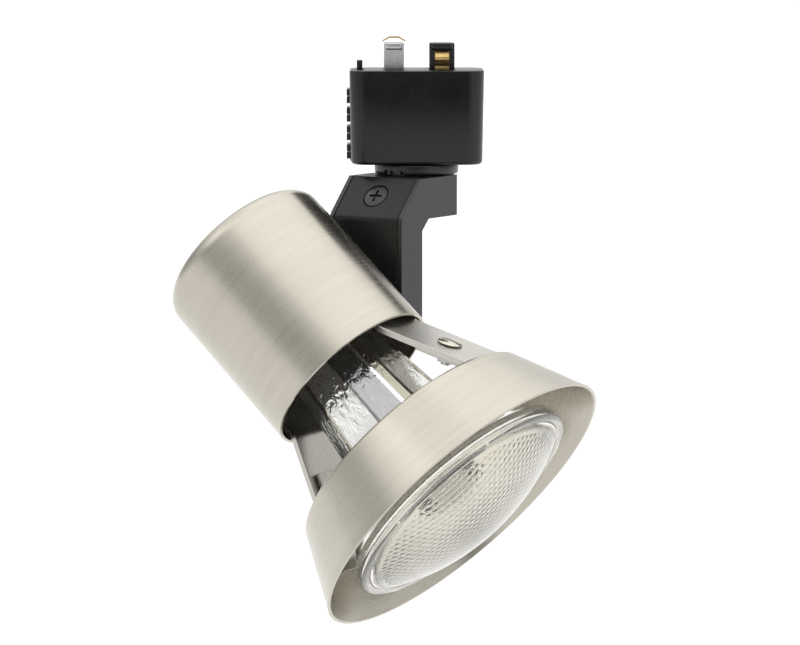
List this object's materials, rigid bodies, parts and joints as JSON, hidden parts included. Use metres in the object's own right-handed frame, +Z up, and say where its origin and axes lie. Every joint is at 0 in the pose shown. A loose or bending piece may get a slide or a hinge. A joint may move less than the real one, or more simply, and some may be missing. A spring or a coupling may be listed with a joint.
{
  "type": "track spotlight",
  "caption": "Black track adapter and cranked swivel arm carrying a tilting brushed nickel lamp can with a flared open shade on two straps round a reflector lamp.",
  "frame": {"origin": "middle of the adapter's flat top face, which seats against the underside of the track, on the axis of the swivel stem", "axes": "+Z up out of the top face into the track, +X along the track, -Y towards the room side that the arm and head face"},
  "size_m": [0.1605, 0.177, 0.2183],
  "materials": {
    "black_plastic": "moulded black plastic, fine satin texture",
    "black_paint": "black satin powder coat",
    "brushed_nickel": "brushed warm nickel plating on steel",
    "zinc": "bright zinc plating",
    "brass_contact": "plain spring brass",
    "porcelain": "glazed off-white porcelain",
    "silvered_glass": "aluminised pressed glass",
    "lens_glass": "clear pressed glass with a fine stipple",
    "capsule_glass": "clear quartz glass",
    "lead_black": "black insulation",
    "lead_white": "white insulation",
    "spring_steel": "plain spring steel"
  },
  "bodies": {
    "adapter": {"adapter_housing": "black_plastic", "adapter_base_cover": "black_plastic", "cover_screw_1": "zinc", "cover_screw_2": "zinc", "contact_mast": "black_plastic", "locking_lug": "zinc", "line_contact": "brass_contact", "neutral_contact": "brass_contact", "ground_contact": "brass_contact", "latch_spring": "spring_steel"},
    "latch": {"latch_slide": "black_plastic"},
    "arm": {"swivel_disc": "black_paint", "swivel_stem": "zinc", "stem_flat_washer": "zinc", "stem_spring_washer": "zinc", "stem_upper_nut": "zinc", "arm_body": "black_paint", "arm_cover": "black_paint", "arm_cover_screw": "black_paint"},
    "head": {"rear_housing": "brushed_nickel", "pivot_bolt": "zinc", "pivot_arm_nut": "zinc", "pivot_spring_washer": "zinc", "pivot_friction_washer": "black_plastic", "pivot_spacer": "black_paint", "pivot_can_nut": "zinc", "socket_bracket": "zinc", "lampholder_body": "porcelain", "screw_shell": "brass_contact", "centre_contact": "brass_contact", "holder_screw_1": "zinc", "holder_screw_2": "zinc", "strap_upper": "brushed_nickel", "strap_screw_upper": "brushed_nickel", "strap_nut_upper": "zinc", "flare_bracket_upper": "brushed_nickel", "strap_rivet_upper_1": "zinc", "strap_rivet_upper_2": "zinc", "strap_lower": "brushed_nickel", "strap_screw_lower": "brushed_nickel", "strap_nut_lower": "zinc", "flare_bracket_lower": "brushed_nickel", "strap_rivet_lower_1": "zinc", "strap_rivet_lower_2": "zinc", "flare_shade": "brushed_nickel", "head_lead_line": "lead_black", "head_lead_neutral": "lead_white", "lamp_base_shell": "zinc", "lamp_base_insulator": "black_plastic", "lamp_base_contact": "brass_contact", "lamp_reflector": "silvered_glass", "lamp_lens": "lens_glass", "burner_capsule": "capsule_glass"}
  },
  "joints": [
    {"name": "latch_pull", "type": "slide", "parent": "adapter", "child": "latch", "axis": [0, 0, -1], "range_m": [0, 0.004], "stiffness_N_per_m": 400, "springref_m": -0.01, "deforming": ["latch_spring"]},
    {"name": "arm_swivel", "type": "hinge", "parent": "adapter", "child": "arm", "pos_m": [0, 0, -0.0414], "axis": [0, 0, 1], "range_deg": [-145.2, 212.8]},
    {"name": "head_tilt", "type": "hinge", "parent": "arm", "child": "head", "pos_m": [-0.04161, -0.06216, -0.09545], "axis": [-0.5563, -0.831, 0], "range_deg": [-49, 41]}
  ]
}
